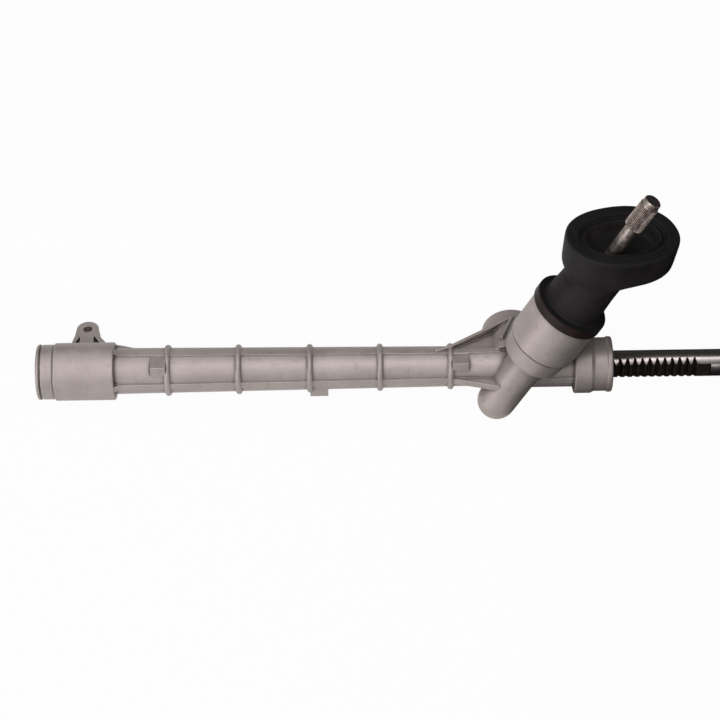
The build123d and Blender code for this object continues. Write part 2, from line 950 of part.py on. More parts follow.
def yoke_gusset(side):
    """The wall from tube to yoke boss above or below the bar; side is 1 or -1"""
    outline = [
        (gusset_start_x, 0),
        (gusset_tip_x, gusset_tip_reach),
        (pinion_x, gusset_tip_reach),
        (pinion_x, 0),
    ]
    faces = sorted((side * (gusset_face - gusset_thickness), side * gusset_face))
    return plate(outline, *faces)


def yoke_gusset_rim():
    """The bead that climbs from the tube to the yoke boss and turns back round the gusset's corner"""
    bottom = gusset_face - gusset_thickness
    bend_share = (gusset_rim_bend[0] - gusset_rim_foot[0]) / (gusset_rim_tip[0] - gusset_rim_foot[0])
    bend_height = gusset_rim_low + bend_share * (gusset_rim_high - gusset_rim_low)
    first = (gusset_rim_low, bend_height)
    second = (bend_height, gusset_rim_high)
    third = (gusset_rim_high, gusset_rim_high)
    return [
        wall(gusset_rim_foot, gusset_rim_bend, bottom, first, gusset_rim_width),
        wall(gusset_rim_bend, gusset_rim_tip, bottom, second, gusset_rim_width),
        wall(gusset_rim_tip, gusset_rim_corner, bottom, third, gusset_rim_width),
    ]


with BuildPart() as rack_housing:
    add(barrel())
    for rib_x in ring_rib_x:
        add(ring_rib(rib_x))
    for rib_direction in (0, 90, 180, 270):
        end_x = tower_rib_end_x if rib_direction == 90 else ring_rib_x[-1] + 10
        add(long_rib(rib_direction, clamp_seat_half, end_x, rise=4.5))
        add(long_rib(rib_direction, right_rib_start_x, right_seat_x))
    add(corner_lug(left_lug_x, lug_front, lug_face))
    add(corner_lug(right_lug_x, lug_front - right_lug_drop, lug_face - right_lug_drop))
    add(corner_lug(lower_lug_x, lower_lug_front, -lower_lug_face))
    add(ear())
    # The web that stiffens the ear along the tube
    add(
        plate(
            [
                (ear_x, clamp_seat_radius),
                (clamp_seat_half, tube_left_radius + ear_web_rise),
                (ear_web_end_x, tube_left_radius),
                (ear_web_end_x, core_left_radius + 1),
                (ear_x, core_left_radius + 1),
            ],
            ear_web_bottom,
            ear_web_top,
        )
    )
    add(tower_outside())
    add(yoke_boss())
    for gusset_side in (1, -1):
        add(yoke_gusset(gusset_side))
    for bead in yoke_gusset_rim():
        add(bead)
    # The flat rib from the tube to the front of the knob
    add(
        plate(
            [
                (ring_rib_x[-1], -tube_right_radius - long_rib_height),
                (knob_gusset_x, -knob_gusset_reach),
                (knob_gusset_x, 0),
                (ring_rib_x[-1], 0),
            ],
            -long_rib_width / 2,
            long_rib_width / 2,
        )
    )
    add(bar_bore(), mode=Mode.SUBTRACT)
    add(tower_bore(), mode=Mode.SUBTRACT)
    add(yoke_bore(), mode=Mode.SUBTRACT)


# ---------------------------------------------------------------- bush and end stops
ring_wire = 0.95
ring_groove_half = 1.2

with BuildPart() as rack_bush:
    bush_outer = bush_bore_radius - seat_gap
    bush_inner = bar_radius + running_gap
    add(ring(bar_section, bush_inner, bush_outer, -bush_half_length, bush_half_length))
    for groove_x in (-bush_half_length / 2, bush_half_length / 2):
        add(
            ring(
                bar_section,
                bush_outer - 2 * ring_wire,
                bush_outer + 1,
                groove_x - ring_groove_half,
                groove_x + ring_groove_half,
            ),
            mode=Mode.SUBTRACT,
        )

with BuildPart() as bush_rings:
    for groove_x in (-bush_half_length / 2, bush_half_length / 2):
        wire = ring_wire - seat_gap / 2
        add(rubber_ring(bar_section, bush_outer - wire, wire, groove_x))

with BuildPart() as left_end_stop:
    add(ring(bar_section, end_stop_bore, end_bore_radius - seat_gap, left_stop_x, -bush_half_length))

with BuildPart() as right_end_stop:
    add(
        ring(
            bar_section,
            end_stop_bore,
            end_bore_radius - seat_gap,
            right_stop_x,
            right_stop_x + end_stop_width,
        )
    )


# ---------------------------------------------------------------- support yoke
liner_inner = bar_radius + running_gap
liner_outer = liner_inner + liner_thickness
ring_grooves_y = (yoke_back - 8.5, yoke_back - 3.5)

with BuildPart() as support_yoke:
    add(ring(yoke_section, 0, yoke_radius, yoke_front, yoke_back))
    # The cradle for bar and liner runs right across the yoke's face
    cradle_left, cradle_right = pinion_x - 2 * yoke_radius, pinion_x + 2 * yoke_radius
    add(ring(bar_section, 0, liner_outer, cradle_left, cradle_right), mode=Mode.SUBTRACT)
    pocket_radius = spring_radius + spring_wire_radius + spring_side_gap
    add(
        ring(yoke_section, 0, pocket_radius, yoke_back - spring_pocket_depth, yoke_back),
        mode=Mode.SUBTRACT,
    )
    for ring_y in ring_grooves_y:
        add(
            ring(
                yoke_section,
                yoke_radius - 2 * yoke_ring_wire,
                yoke_radius + 1,
                ring_y - yoke_ring_wire - 0.1,
                ring_y + yoke_ring_wire + 0.1,
            ),
            mode=Mode.SUBTRACT,
        )

with BuildPart() as yoke_liner:
    liner_half = yoke_radius - 3
    liner_back = liner_outer - seat_gap
    add(ring(bar_section, liner_inner, liner_back, pinion_x - liner_half, pinion_x + liner_half))
    liner_reach = yoke_front + 1.0
    add(
        plate(
            [
                (pinion_x - yoke_radius, -bar_radius - 2),
                (pinion_x + yoke_radius, -bar_radius - 2),
                (pinion_x + yoke_radius, liner_reach),
                (pinion_x - yoke_radius, liner_reach),
            ],
            -2 * bar_radius,
            2 * bar_radius,
        ),
        mode=Mode.SUBTRACT,
    )

with BuildPart() as yoke_rings:
    for ring_y in ring_grooves_y:
        add(rubber_ring(yoke_section, yoke_radius - yoke_ring_wire, yoke_ring_wire - seat_gap, ring_y))

plug_bottom = yoke_back + yoke_lash
plug_face = yoke_thread_start + 1.0
spring_bottom = yoke_back - spring_pocket_depth + spring_gap + spring_wire_radius
spring_top = plug_face - seat_gap - spring_wire_radius
plug_top = plug_face + plug_length

with BuildPart() as yoke_spring:
    with BuildLine() as coil:
        Helix(
            pitch=(spring_top - spring_bottom) / spring_turns,
            height=spring_top - spring_bottom,
            radius=spring_radius,
            center=yoke_section.from_local_coords((0, spring_bottom, 0)),
            direction=yoke_section.y_dir,
        )
    with BuildSketch(Plane(coil.line @ 0, z_dir=coil.line % 0)):
        Circle(spring_wire_radius)
    sweep(is_frenet=True)

with BuildPart() as yoke_plug:
    add(
        turned(
            yoke_section,
            [
                (0, plug_face),
                (spring_radius + 3, plug_face),
                (spring_radius + 3, plug_bottom),
                (yoke_radius - 1, plug_bottom),
                (yoke_radius - 1, plug_face),
                (yoke_thread_radius - thread_gap, plug_face),
                (yoke_thread_radius - thread_gap, plug_top),
                (0, plug_top),
            ],
        )
    )
    with BuildSketch(across(yoke_section, plug_top)):
        RegularPolygon(radius=plug_hexagon / 2, side_count=6, major_radius=False)
    extrude(amount=-plug_hexagon_depth, mode=Mode.SUBTRACT)

with BuildPart() as yoke_lock_ring:
    lock_ring_radius = yoke_thread_radius - thread_gap
    add(ring(yoke_section, lock_ring_bore, lock_ring_radius, plug_top, plug_top + lock_ring_height))
    with BuildSketch(across(yoke_section, plug_top + lock_ring_height)):
        with PolarLocations(yoke_thread_radius, 4):
            Rectangle(6, 5)
    extrude(amount=-2.2, mode=Mode.SUBTRACT)


# ---------------------------------------------------------------- bulkhead seal and band
pad_tilt = radians(pad_lean)
pad_normal = on_unit(sin(pad_tilt), 0, cos(pad_tilt))
pad_along = on_unit(cos(pad_tilt), 0, -sin(pad_tilt))
pad_top_plane = Plane(on_unit(pad_centre_x, pad_centre_y, pad_height), x_dir=pad_along, z_dir=pad_normal)
seal_ledge = spigot_top + seal_wall
band_bottom = tower_top - band_overlap
band_top = band_bottom + band_height


def pad_crossing(below):
    """Where the pinion's axis meets the plane that far below the pad's top, as a distance from the mesh"""
    start = pad_top_plane.offset(-below).origin - pinion_section.origin
    return start.dot(pad_normal) / pinion_dir.dot(pad_normal)


def pad_block(inset, depth, narrowing):
    """An oval block from the pad's top face down, set in from its outline and narrowed toward its bottom"""
    with BuildPart() as block:
        for below, shrink in ((0, inset), (depth, inset + narrowing)):
            with BuildSketch(pad_top_plane.offset(-below)):
                Ellipse(pad_half_length - shrink, pad_half_width - shrink, rotation=pad_skew)
        loft(ruled=True)
    return block.part


def rounded_pad():
    """The oval pad with its rounded rims"""
    with BuildPart() as pad:
        add(pad_block(0, pad_thickness, pad_taper))
        rims = pad.edges().sort_by(Axis(pad_top_plane.origin, pad_normal))
        fillet(rims[-1], pad_top_round)
        fillet(pad.edges().sort_by(Axis(pad_top_plane.origin, pad_normal))[0], pad_bottom_round)
    return pad.part


neck_top = pad_crossing(pad_thickness)
neck_straight = neck_top - seal_neck_straight
hollow_top = neck_top - seal_lip_depth


def seal_neck():
    """The flange under the band, its ledge and the neck, cut off just under the pad's bowl"""
    with BuildPart() as neck:
        add(
            turned(
                pinion_section,
                [
                    (0, tower_top),
                    (seal_flange_radius, tower_top),
                    (seal_flange_radius, band_top + seat_gap),
                    (seal_ledge_radius, band_top + seat_gap),
                    (seal_ledge_radius, seal_ledge),
                    (seal_neck_radius, seal_ledge),
                    (seal_neck_top_radius, neck_straight),
                    (seal_neck_top_radius, pad_crossing(0)),
                    (0, pad_crossing(0)),
                ],
                [((seal_ledge_radius, seal_ledge), seal_ledge_round)],
            )
        )
        split(bisect_by=pad_top_plane.offset(-bowl_depth - 1), keep=Keep.BOTTOM)
    return neck.part


with BuildPart() as bulkhead_seal:
    add(seal_neck())
    add(rounded_pad())
    # The open top: a step inside the rim, and the bowl that the shaft comes up through
    add(pad_block(pad_rim, pad_step, 0), mode=Mode.SUBTRACT)
    add(pad_block(pad_rim + pad_ledge_width, bowl_depth, bowl_narrowing), mode=Mode.SUBTRACT)
    # The hollow round the tower's spigot and up the neck, and the lip round the shaft
    add(
        turned(
            pinion_section,
            [
                (0, tower_top),
                (spigot_radius + seat_gap, tower_top),
                (spigot_radius + seat_gap, spigot_top + seat_gap),
                (seal_neck_radius - seal_wall, spigot_top + seat_gap),
                (seal_neck_top_radius - seal_wall, neck_straight),
                (shank_radius + 2, hollow_top),
                (0, hollow_top),
            ],
        ),
        mode=Mode.SUBTRACT,
    )
    shaft_hole = ring(pinion_section, 0, shank_radius + free_gap, hollow_top - 1, pad_crossing(0))
    add(shaft_hole, mode=Mode.SUBTRACT)

with BuildPart() as seal_band:
    add(
        ring(
            pinion_section,
            seal_flange_radius + seat_gap,
            seal_flange_radius + band_thickness,
            band_bottom,
            band_top,
        )
    )


# ---------------------------------------------------------------- write every piece
os.makedirs("parts", exist_ok=True)
write_piece(rack_housing, "rack_housing")
write_piece(rack_bar, "rack_bar")
write_piece(pinion_shaft, "pinion_shaft")
write_piece(needle_cup, "needle_cup")
write_piece(needle_cage, "needle_cage")
write_piece(needle_rollers, "needle_rollers")
write_piece(bearing_outer_race, "bearing_outer_race")
write_piece(bearing_inner_race, "bearing_inner_race")
write_piece(bearing_cage, "bearing_cage")
write_piece(bearing_balls, "bearing_balls")
write_piece(bearing_circlip, "bearing_circlip")
write_piece(shaft_circlip, "shaft_circlip")
write_piece(pinion_oil_seal, "pinion_oil_seal")
write_piece(rack_bush, "rack_bush")
write_piece(bush_rings, "bush_rings")
write_piece(left_end_stop, "left_end_stop")
write_piece(right_end_stop, "right_end_stop")
write_piece(support_yoke, "support_yoke")
write_piece(yoke_liner, "yoke_liner")
write_piece(yoke_rings, "yoke_rings")
write_piece(yoke_spring, "yoke_spring")
write_piece(yoke_plug, "yoke_plug")
write_piece(yoke_lock_ring, "yoke_lock_ring")
write_piece(bulkhead_seal, "bulkhead_seal")
write_piece(seal_band, "seal_band")
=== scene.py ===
# %% [markdown]
# # A steering rack in the workshop light
#
# A steering rack turns the driver's wheel into a sideways push. A leaning pinion meshes with teeth in a long steel
# bar, and a ribbed aluminium casting carries both. The pieces are already built to size in CAD. This lesson dresses
# them: it gives every surface the finish of the real thing, winds the screw threads, and models the soft rubber boot
# again as a flowing skin.
#
# The first cell loads the CAD pieces as a fixed frame. Nothing in it may move, so every new piece is made in the same
# metres and rides on one of the frame's bodies.

import json
from math import atan, cos, degrees, pi, radians, sin, tan

import bmesh
import bpy
from mathutils import Matrix, Vector


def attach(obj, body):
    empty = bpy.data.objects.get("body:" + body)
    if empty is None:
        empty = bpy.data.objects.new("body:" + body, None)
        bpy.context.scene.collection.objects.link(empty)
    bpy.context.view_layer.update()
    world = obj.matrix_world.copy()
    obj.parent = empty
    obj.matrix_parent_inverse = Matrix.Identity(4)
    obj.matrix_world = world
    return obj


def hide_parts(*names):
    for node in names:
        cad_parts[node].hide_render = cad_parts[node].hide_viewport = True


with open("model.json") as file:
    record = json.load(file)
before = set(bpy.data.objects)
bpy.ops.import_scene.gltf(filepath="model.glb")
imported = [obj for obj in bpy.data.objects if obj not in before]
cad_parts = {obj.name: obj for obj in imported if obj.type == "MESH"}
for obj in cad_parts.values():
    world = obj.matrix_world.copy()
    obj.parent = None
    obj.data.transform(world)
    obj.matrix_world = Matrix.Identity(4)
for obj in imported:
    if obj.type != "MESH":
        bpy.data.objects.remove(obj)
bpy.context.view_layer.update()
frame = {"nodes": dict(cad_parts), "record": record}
nodes = frame["nodes"]

# %% [markdown]
# ## Which way the unit lies
#
# The unit rests on a bench on its pinion knob and its yoke boss, so it is rolled a little about the bar. Its own
# directions are: x along the bar, y toward the support yoke, z up the side of the pinion tower. One helper turns a
# point given that way, in millimetres, into the frame's metres. Every later size can then be read off the drawing.

# %% Directions on the unit
MM = 0.001
BENCH_ROLL = radians(17.7)
PINION_LEAN = radians(28.0)
PINION_X = 380.0
CENTRE_DISTANCE = 16.47  # between the axes of bar and pinion


def on_unit(x, y, z):
    """A direction along the unit's own axes, turned into the frame"""
    return Vector((x, y * cos(BENCH_ROLL) + z * sin(BENCH_ROLL), z * cos(BENCH_ROLL) - y * sin(BENCH_ROLL)))


def place(x, y, z):
    """A point on the unit, in millimetres, turned into the frame's metres"""
    return on_unit(x, y, z) * MM


pinion_foot = place(PINION_X, -CENTRE_DISTANCE, 0)
pinion_up = on_unit(sin(PINION_LEAN), 0, cos(PINION_LEAN))
yoke_side = on_unit(0, 1, 0)
print("pinion axis", pinion_up)

# %% [markdown]
# ## The camera
#
# The unit is seen from its front and well above, from two metres away, so the long bar shows only a trace of
# perspective. The camera is rolled by less than a degree, so that the bar climbs a little to the right.
#
# A camera looks down its own -Z with +Y up. Building its three axes as vectors is surer than angles.

# %% Camera
VIEW_DISTANCE = 2003
VIEW_CENTRE_X = 244.2
VIEW_CENTRE_RISE = 6.7  # from the bar's axis, up the view
VIEW_ELEVATION = radians(44)  # above the unit's own y direction
VIEW_TWIST = radians(0.84)
VIEW_WIDTH = 640.8  # millimetres across the view, at the bar
FILM_WIDTH = 36  # of the camera, in millimetres

sight = on_unit(0, cos(VIEW_ELEVATION), -sin(VIEW_ELEVATION))
level_up = on_unit(0, sin(VIEW_ELEVATION), cos(VIEW_ELEVATION))
level_right = Vector((1, 0, 0))
view_right = level_right * cos(VIEW_TWIST) - level_up * sin(VIEW_TWIST)
view_up = level_right * sin(VIEW_TWIST) + level_up * cos(VIEW_TWIST)

camera_data = bpy.data.cameras.new("camera")
camera_data.sensor_width = FILM_WIDTH
camera_data.lens = FILM_WIDTH * VIEW_DISTANCE / VIEW_WIDTH
camera_data.clip_start = 0.05
camera_data.clip_end = 40
camera = bpy.data.objects.new("camera", camera_data)
bpy.context.scene.collection.objects.link(camera)
turn = Matrix((view_right, view_up, -sight)).transposed()
camera.matrix_world = turn.to_4x4()
camera.location = place(VIEW_CENTRE_X, 0, 0) + level_up * VIEW_CENTRE_RISE * MM - sight * VIEW_DISTANCE * MM
bpy.context.scene.camera = camera
print("lens", round(camera_data.lens, 1), "mm")

# %% [markdown]
# ## Helpers for colours and nodes
#
# Colours are written as on a paint card, as sRGB hex values. Shaders work in linear light, so one function converts
# them. A second adds a node with its settings and links in one line, which keeps each material short enough to read
# as a recipe. Both serve shader trees and geometry trees.

# %% Colour and node helpers
def paint(hex_colour):
    """An sRGB hex value as the linear RGBA that shaders expect"""
    channels = [int(hex_colour[i : i + 2], 16) / 255 for i in (0, 2, 4)]
    linear = [c / 12.92 if c <= 0.04045 else ((c + 0.055) / 1.055) ** 2.4 for c in channels]
    return (*linear, 1.0)


def add_node(tree, kind, settings=None, **links):
    """A node in a tree: settings are attributes, links are sockets by name or number, given a value or a socket"""
    node = tree.nodes.new(kind)
    for name, value in (settings or {}).items():
        setattr(node, name, value)
    for name, value in links.items():
        key = int(name[1:]) if name[0] == "i" and name[1:].isdigit() else name.replace("_", " ")
        if isinstance(value, bpy.types.NodeSocket):
            tree.links.new(value, node.inputs[key])
        else:
            node.inputs[key].default_value = value
    return node


def new_material(name):
    """An empty material, with its tree, shader and Object coordinates"""
    material = bpy.data.materials.new(name)
    material.use_nodes = True
    tree = material.node_tree
    tree.nodes.clear()
    shader = add_node(tree, "ShaderNodeBsdfPrincipled")
    add_node(tree, "ShaderNodeOutputMaterial", Surface=shader.outputs[0])
    place_on_piece = add_node(tree, "ShaderNodeTexCoord").outputs["Object"]
    return material, tree, shader, place_on_piece


print("red oxide in linear light:", paint("7A3B2E"))

# %% [markdown]
# ## Building blocks that several finishes share
#
# A few small recipes come back in most of the finishes. A blend mixes two colours by a factor, a ramp takes a value
# from one range to another, and a sum joins two values.
#
# Three distances say where on the unit a point lies: along a direction, from the bar's axis and from the pinion's.
# They part a ground or bored surface from the cast skin round it. Spots are soft noise, given by their real size, and
# shelter says how hemmed in a point is, which is where painted shade goes. Turned marks are the fine rings that a lathe
# tool leaves, at right angles to the axis that the piece was turned about.

# %% Shared recipes
def blend(tree, factor, first, second):
    """Two colours, mixed by a factor; either may be a hex value or a socket"""
    first = paint(first) if isinstance(first, str) else first
    second = paint(second) if isinstance(second, str) else second
    return add_node(tree, "ShaderNodeMix", {"data_type": "RGBA"}, i0=factor, i6=first, i7=second).outputs[2]


def ramp(tree, value, low, high, to_low=0.0, to_high=1.0):
    """A value taken from one range to another, held at its ends"""
    return add_node(tree, "ShaderNodeMapRange", Value=value, i1=low, i2=high, i3=to_low, i4=to_high).outputs[0]


def calculate(tree, operation, first, second=0.0):
    """One sum on two values"""
    return add_node(tree, "ShaderNodeMath", {"operation": operation}, i0=first, i1=second).outputs[0]


def distance_along(tree, where, direction, origin=Vector((0, 0, 0))):
    """How far a point lies along a direction, in metres"""
    moved = add_node(tree, "ShaderNodeVectorMath", {"operation": "SUBTRACT"}, i0=where, i1=origin)
    dot = add_node(tree, "ShaderNodeVectorMath", {"operation": "DOT_PRODUCT"}, i0=moved.outputs[0], i1=direction)
    return dot.outputs["Value"]


def distance_from_bar(tree, where):
    """How far a point lies from the bar's axis, in metres"""
    flat = add_node(tree, "ShaderNodeVectorMath", {"operation": "MULTIPLY"}, i0=where, i1=(0.0, 1.0, 1.0))
    return add_node(tree, "ShaderNodeVectorMath", {"operation": "LENGTH"}, i0=flat.outputs[0]).outputs["Value"]


def distance_from_pinion(tree, where):
    """How far a point lies from the pinion's axis, in metres"""
    moved = add_node(tree, "ShaderNodeVectorMath", {"operation": "SUBTRACT"}, i0=where, i1=pinion_foot)
    across = add_node(tree, "ShaderNodeVectorMath", {"operation": "CROSS_PRODUCT"}, i0=moved.outputs[0], i1=pinion_up)
    return add_node(tree, "ShaderNodeVectorMath", {"operation": "LENGTH"}, i0=across.outputs[0]).outputs["Value"]


def spots(tree, where, size_mm, detail, roughness=0.5):
    """Soft noise whose spots are about that wide, as a value from 0 to 1"""
    return add_node(
        tree, "ShaderNodeTexNoise", Vector=where, Scale=1.0 / (size_mm * MM), Detail=detail, Roughness=roughness
    ).outputs[0]


def shelter(tree, reach_mm, samples):
    """1 in the open, down to 0 where the surface is hemmed in within that reach"""
    return add_node(tree, "ShaderNodeAmbientOcclusion", {"samples": samples}, Distance=reach_mm * MM).outputs[1]


def turned_marks(tree, where, axis, spacing_mm):
    """Rings across an axis, uneven in depth, as a height from 0 to 1"""
    along = distance_along(tree, where, axis)
    step = calculate(tree, "MULTIPLY", along, 1.0 / (spacing_mm * MM))
    return add_node(tree, "ShaderNodeTexNoise", {"noise_dimensions": "1D"}, W=step, Scale=1.0, Detail=2.0).outputs[0]


def bumped(tree, height, depth_mm, strength=1.0, **normal):
    """A normal tilted by a height pattern of a real depth"""
    return add_node(
        tree, "ShaderNodeBump", Strength=strength, Distance=depth_mm * MM, Height=height, **normal
    ).outputs[0]


print("shared recipes ready")

# %% [markdown]
# ## Die-cast aluminium
#
# The housing is cast in a steel die, then blasted with shot. That leaves a warm grey skin that spreads a highlight
# wide, with grain well under a millimetre and faint cloudy stains where the die was lubricated. Edges and ribs are
# painted paler, as a painted highlight. Corners are painted darker, as painted shade, and deep pockets between ribs
# more broadly.
#
# Where a bush, a bellows or a bearing seats, the skin is turned away on a lathe, and fine rings show bare bright
# metal. Those places are found by their distance from the bar's axis, so the same finish covers the whole casting.
# The groove that parts the tower's two barrels is a millimetre wide and painted dark, as painted shade, so it reads as
# a dark line.

# %% Cast aluminium
BORE_REACH = 20.9  # millimetres: bored surfaces lie nearer to the bar's axis than this, past the ends of the tube
BORE_RIM = 0.1  # over which the cast skin passes into the bored one
BORE_LEFT_X = -14.0
BORE_RIGHT_X = 441.0
BORE_RINGS = 0.45  # between the marks of the boring tool; real ones are finer, and wouldn't show
GROOVE_LOW, GROOVE_HIGH = 48.3, 50.5  # millimetres along the pinion's axis
TOWER_REACH = 34.0
CLOUD_SIZE = 26.3  # where the shot blast took more or less
STAIN_SIZE = 7.14  # of the die's lubricant
GRAIN_SIZE = 0.909  # coarser than the real grain, which is too fine to show
SPECK_SIZE = 2.38
EDGE_RADIUS = 0.8
CORNER_REACH = 4.0  # how far painted shade reaches out of a corner
POCKET_REACH = 16.0  # and in a deep pocket between ribs


def bored_ends(tree, where):
    """1 inside the bored mouths at both ends of the casting, 0 elsewhere"""
    inner = ramp(tree, distance_from_bar(tree, where), BORE_REACH * MM, (BORE_REACH - BORE_RIM) * MM)
    along = distance_along(tree, where, (1, 0, 0))
    left = calculate(tree, "LESS_THAN", along, BORE_LEFT_X * MM)
    right = calculate(tree, "GREATER_THAN", along, BORE_RIGHT_X * MM)
    return calculate(tree, "MULTIPLY", inner, calculate(tree, "MAXIMUM", left, right))


def barrel_groove(tree, where):
    """1 in the groove round the tower, 0 elsewhere"""
    along = distance_along(tree, where, pinion_up, pinion_foot)
    above = calculate(tree, "GREATER_THAN", along, GROOVE_LOW * MM)
    below = calculate(tree, "LESS_THAN", along, GROOVE_HIGH * MM)
    near = calculate(tree, "LESS_THAN", distance_from_pinion(tree, where), TOWER_REACH * MM)
    return calculate(tree, "MULTIPLY", near, calculate(tree, "MULTIPLY", above, below))


def cast_aluminium():
    material, tree, shader, where = new_material("die_cast_aluminium")
    clouds = spots(tree, where, CLOUD_SIZE, 5.0, 0.6)
    stains = spots(tree, where, STAIN_SIZE, 3.0)
    grain = spots(tree, where, GRAIN_SIZE, 3.0)
    specks = add_node(tree, "ShaderNodeTexVoronoi", Vector=where, Scale=1.0 / (SPECK_SIZE * MM)).outputs["Distance"]
    soft_edge = add_node(tree, "ShaderNodeBevel", {"samples": 8}, Radius=EDGE_RADIUS * MM).outputs[0]
    flat = add_node(tree, "ShaderNodeNewGeometry").outputs["Normal"]
    turned = add_node(tree, "ShaderNodeVectorMath", {"operation": "DOT_PRODUCT"}, i0=soft_edge, i1=flat)
    # Painted highlight: edges and ribs are painted paler.
    edge_highlight = ramp(tree, turned.outputs["Value"], 0.985, 0.86)
    # Painted shade: corners are painted darker, and deep pockets between ribs more broadly.
    corner_shade = ramp(tree, shelter(tree, CORNER_REACH, 12), 0.93, 0.50)
    pocket_shade = ramp(tree, shelter(tree, POCKET_REACH, 8), 0.90, 0.40, 0.0, 0.70)
    skin = blend(tree, ramp(tree, clouds, 0.35, 0.65), "A99E9A", "B8ADA9")
    skin = blend(tree, ramp(tree, stains, 0.58, 0.72, 0.0, 0.40), skin, "95898A")
    skin = blend(tree, ramp(tree, grain, 0.62, 0.40, 0.0, 0.22), skin, "857A78")
    skin = blend(tree, ramp(tree, specks, 0.10, 0.0, 0.0, 0.35), skin, "D6CCC9")
    skin = blend(tree, pocket_shade, skin, "5C504D")
    skin = blend(tree, calculate(tree, "MULTIPLY", corner_shade, 0.90), skin, "352C2A")
    skin = blend(tree, calculate(tree, "MULTIPLY", edge_highlight, 0.6), skin, "E8DFDC")
    # Painted shade: the groove round the tower is painted dark.
    skin = blend(tree, calculate(tree, "MULTIPLY", barrel_groove(tree, where), 0.85), skin, "4A3F3C")
    bored = bored_ends(tree, where)
    tree.links.new(blend(tree, bored, skin, "B4ADAB"), shader.inputs["Base Color"])
    rough = ramp(tree, clouds, 0.3, 0.7, 0.47, 0.59)
    rough = calculate(tree, "SUBTRACT", rough, calculate(tree, "MULTIPLY", bored, 0.25))
    tree.links.new(rough, shader.inputs["Roughness"])
    tree.links.new(ramp(tree, bored, 0.0, 1.0, 0.52, 1.0), shader.inputs["Metallic"])
    rings = turned_marks(tree, where, (1, 0, 0), BORE_RINGS)
    skin_normal = bumped(tree, grain, 0.12, 0.55, Normal=soft_edge)
    skin_normal = bumped(tree, stains, 0.15, 0.35, Normal=skin_normal)
    depth = calculate(tree, "MULTIPLY", rings, bored)
    tree.links.new(bumped(tree, depth, 0.05, 0.6, Normal=skin_normal), shader.inputs["Normal"])
    return material


die_casting = cast_aluminium()
print("made", die_casting.name)

# %% [markdown]
# ## The ground bar
#
# The bar is induction-hardened steel, ground between centres to an even grey shine. The milled teeth and their flat
# stay dark from the hardening, and hold grease. Only the ground round is bright, so the finish asks how far a point
# lies from the axis: on the full radius it is bright, inside it is dark and oily. The end faces are turned and bright.

# %% Ground bar
BAR_RADIUS = 12.0
BAR_LEFT_END = -31.7
BAR_RIGHT_END = 602.3
GROUND_SKIN = 0.45  # how far below the full radius the ground surface gives way to the dark one
GROUND_RIM = 0.15  # over which one passes into the other
END_FACE_DEPTH = 1.05  # the chamfer round each end belongs to the turned face
GRINDING_MARKS = 6.0  # far wider than real ones, which are too fine to show
GREASE_SIZE = 3.85


def ground_bar():
    material, tree, shader, where = new_material("induction_hardened_steel")
    radius = distance_from_bar(tree, where)
    dark_radius = BAR_RADIUS - GROUND_SKIN
    ground = ramp(tree, radius, dark_radius * MM, (dark_radius + GROUND_RIM) * MM)
    along = distance_along(tree, where, (1, 0, 0))
    left_face = calculate(tree, "LESS_THAN", along, (BAR_LEFT_END + END_FACE_DEPTH) * MM)
    right_face = calculate(tree, "GREATER_THAN", along, (BAR_RIGHT_END - END_FACE_DEPTH) * MM)
    bright = calculate(tree, "MAXIMUM", ground, calculate(tree, "MAXIMUM", left_face, right_face))
    grease = spots(tree, where, GREASE_SIZE, 4.0)
    marks = turned_marks(tree, where, (1, 0, 0), GRINDING_MARKS)
    oxide = blend(tree, grease, "1A1412", "2E2522")
    polish = blend(tree, marks, "8A8281", "8F8786")
    tree.links.new(blend(tree, bright, oxide, polish), shader.inputs["Base Color"])
    polish_rough = ramp(tree, marks, 0.3, 0.7, 0.29, 0.33)
    oxide_rough = ramp(tree, grease, 0.35, 0.65, 0.38, 0.62)
    rough = add_node(tree, "ShaderNodeMix", {"data_type": "FLOAT"}, i0=bright, i2=oxide_rough, i3=polish_rough)
    tree.links.new(rough.outputs[0], shader.inputs["Roughness"])
    tree.links.new(ramp(tree, bright, 0.0, 1.0, 0.35, 1.0), shader.inputs["Metallic"])
    return material


ground_steel = ground_bar()
print("made", ground_steel.name)

# %% [markdown]
# ## The pinion shaft and other turned steel
#
# The shaft is turned from bar and left with a brownish film of preserving oil. A lathe leaves rings across the axis,
# so the same recipe serves every turned piece with its own axis. The film gathers in clouds. Painted shade darkens the
# corners of the serrations and streaks along the shaft, and the tip's end face is painted dark as a painted reflection.
#
# Zinc plate on the yoke's plug and ring is paler and smoother. Spring wire is drawn through a die, which leaves it
# dark. Bearing races are ground, so they are the brightest.

# %% Turned steel
SHAFT_TIP = 229.0  # millimetres along the pinion's axis
TIP_FACE_DEPTH = 0.12
LATHE_RINGS = 0.4  # between tool marks; real ones are finer, and wouldn't show
FILM_SIZE = 5.26
SERRATION_REACH = 1.5
STREAKS_ROUND = 7.0  # spots of noise across the shaft's radius
STREAKS_ALONG = 20.0  # radii of noise in a metre of shaft: few, so that a streak runs lengthwise


def shade_streaks_round(tree, where, origin, axis):
    """A pattern that changes round an axis and hardly along it, for streaks of painted shade that run lengthwise"""
    moved = add_node(tree, "ShaderNodeVectorMath", {"operation": "SUBTRACT"}, i0=where, i1=origin).outputs[0]
    along = distance_along(tree, where, axis, origin)
    on_axis = add_node(tree, "ShaderNodeVectorMath", {"operation": "SCALE"}, i0=axis, Scale=along).outputs[0]
    spoke = add_node(tree, "ShaderNodeVectorMath", {"operation": "SUBTRACT"}, i0=moved, i1=on_axis).outputs[0]
    way = add_node(tree, "ShaderNodeVectorMath", {"operation": "NORMALIZE"}, i0=spoke).outputs[0]
    slow = add_node(tree, "ShaderNodeVectorMath", {"operation": "SCALE"}, i0=on_axis, Scale=STREAKS_ALONG).outputs[0]
    both = add_node(tree, "ShaderNodeVectorMath", {"operation": "ADD"}, i0=way, i1=slow).outputs[0]
    return add_node(tree, "ShaderNodeTexNoise", Vector=both, Scale=STREAKS_ROUND, Detail=3.0).outputs[0]


